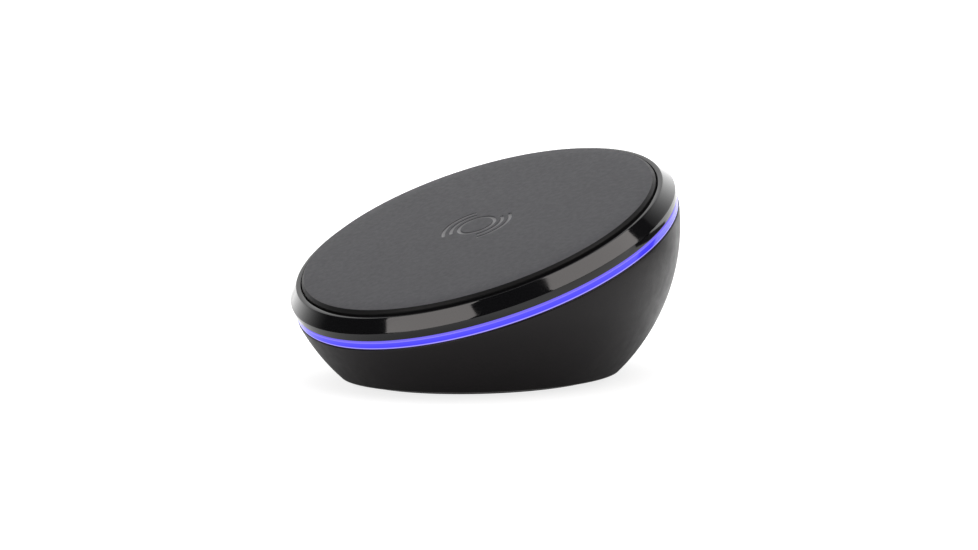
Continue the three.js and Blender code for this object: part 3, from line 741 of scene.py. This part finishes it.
def add_floor_shade():
    """The contact shade that the body reflects: a ring around the foot, brighter outwards."""
    inner, outer = SHADE_REACH
    look = Look("shade_grey", (0, 0, 0), 1, specular=0)
    distance = look.nodes.new("ShaderNodeVectorMath")
    distance.operation = "LENGTH"
    look.links.new(look.place, distance.inputs[0])
    glow = look.spread(distance.outputs["Value"], *SHADE_GLOW, low=inner / MM, high=outer / MM)
    look.links.new(glow, look.shader.inputs["Emission Strength"])
    look.shader.inputs["Emission Color"].default_value = (1, 1, 1, 1)
    loops = [circle(radius, ABOVE_FLOOR, FLAT) for radius in SHADE_REACH]
    vertices, faces = stitch(loops, closed=False)
    in_reflections_only(make_object("floor_shade", vertices, faces, [look.material]))


def in_reflections_only(piece):
    """Stages a piece that only glossy surfaces see."""
    piece.visible_camera = False
    piece.visible_diffuse = False
    piece.visible_shadow = False


def from_front(azimuth, elevation):
    """A direction: azimuth in degrees from the front (-Y) towards +X, elevation above the floor."""
    turn, rise = math.radians(azimuth), math.radians(elevation)
    return Vector((math.sin(turn) * math.cos(rise), -math.cos(turn) * math.cos(rise), math.sin(rise)))


def add_softbox(name, azimuth, elevation, size):
    """A rectangular area light facing the pad, as bright as SOFTBOX_RADIANCE seen from there."""
    light = bpy.data.lights.new(name, "AREA")
    light.shape = "RECTANGLE"
    light.size, light.size_y = size
    light.energy = SOFTBOX_RADIANCE * math.pi * size[0] * size[1]
    light.color = SOFTBOX_COLOUR
    lamp = bpy.data.objects.new(name, light)
    direction = from_front(azimuth, elevation)
    lamp.location = CENTRE + direction * SOFTBOX_DISTANCE
    lamp.rotation_euler = direction.to_track_quat("Z", "Y").to_euler()
    lamp.visible_camera = False
    bpy.context.scene.collection.objects.link(lamp)


def add_overhead():
    light = bpy.data.lights.new("overhead", "SUN")
    light.angle = math.radians(OVERHEAD_ANGLE)
    light.energy = OVERHEAD_STRENGTH
    lamp = bpy.data.objects.new("overhead", light)
    lamp.visible_glossy = False
    bpy.context.scene.collection.objects.link(lamp)


def add_flag(name, azimuths, near, far, high):
    """A black card beside the pad between two azimuths, seen only in reflections."""
    ends = [from_front(azimuth, 0) for azimuth in azimuths]
    rise = Vector((0, 0, high))
    corners = [ends[0] * near, ends[1] * near, ends[1] * far + rise, ends[0] * far + rise]
    black = plastic_look(name + "_black", FLAG_COLOUR, FLAG_ROUGHNESS)
    in_reflections_only(make_object(name, corners, [(0, 1, 2, 3)], [black]))


def add_world():
    """A white backdrop that stands higher behind the pad than in front, under a dark ceiling."""
    world = bpy.data.worlds.new("studio")
    bpy.context.scene.world = world
    world.use_nodes = True
    nodes, links = world.node_tree.nodes, world.node_tree.links
    nodes["Background"].inputs["Color"].default_value = (1, 1, 1, 1)
    coordinates = nodes.new("ShaderNodeTexCoord")
    height = nodes.new("ShaderNodeVectorMath")
    height.operation = "DOT_PRODUCT"
    height.inputs[1].default_value = Vector((0, 0, 1)) - from_front(BACKDROP_AZIMUTH, 0)
    fade = nodes.new("ShaderNodeMapRange")
    fade.interpolation_type = "SMOOTHSTEP"
    for socket, number in zip(("From Min", "From Max", "To Min", "To Max"), BACKDROP_FADE):
        fade.inputs[socket].default_value = number
    links.new(coordinates.outputs["Generated"], height.inputs[0])
    links.new(height.outputs["Value"], fade.inputs["Value"])
    links.new(fade.outputs["Result"], nodes["Background"].inputs["Strength"])


def add_camera():
    back = from_front(CAMERA_AZIMUTH, CAMERA_ELEVATION)
    level = Vector((0, 0, 1)).cross(back).normalized()
    roll = Matrix.Rotation(math.radians(CAMERA_ROLL), 3, back)
    right = roll @ level
    up = roll @ back.cross(level)
    camera = bpy.data.objects.new("camera", bpy.data.cameras.new("camera"))
    camera.data.lens = CAMERA_LENS
    camera.data.clip_start = CAMERA_CLIP
    aim = CENTRE + right * CAMERA_AIM[0] + up * CAMERA_AIM[1]
    axes = Matrix((right, up, back)).transposed().to_4x4()
    camera.matrix_world = Matrix.Translation(aim + back * CAMERA_DISTANCE) @ axes
    bpy.context.scene.collection.objects.link(camera)
    bpy.context.scene.camera = camera


def add_lights():
    add_overhead()
    add_flag("flag", FLAG_AZIMUTHS, FLAG_DISTANCE, FLAG_DISTANCE, FLAG_HEIGHT)
    add_flag("floor_flag", FLOOR_FLAG_AZIMUTHS, *FLOOR_FLAG_REACH, ABOVE_FLOOR)
    for name, azimuth, elevation, size in SOFTBOXES:
        add_softbox(name, azimuth, elevation, size)


body_piece()
bezel_piece()
light_piece()
pad_piece()
foot_piece()
dress_frame()
add_floor()
add_floor_shade()
add_world()
add_lights()
add_camera()
bpy.context.scene.view_settings.view_transform = "Standard"
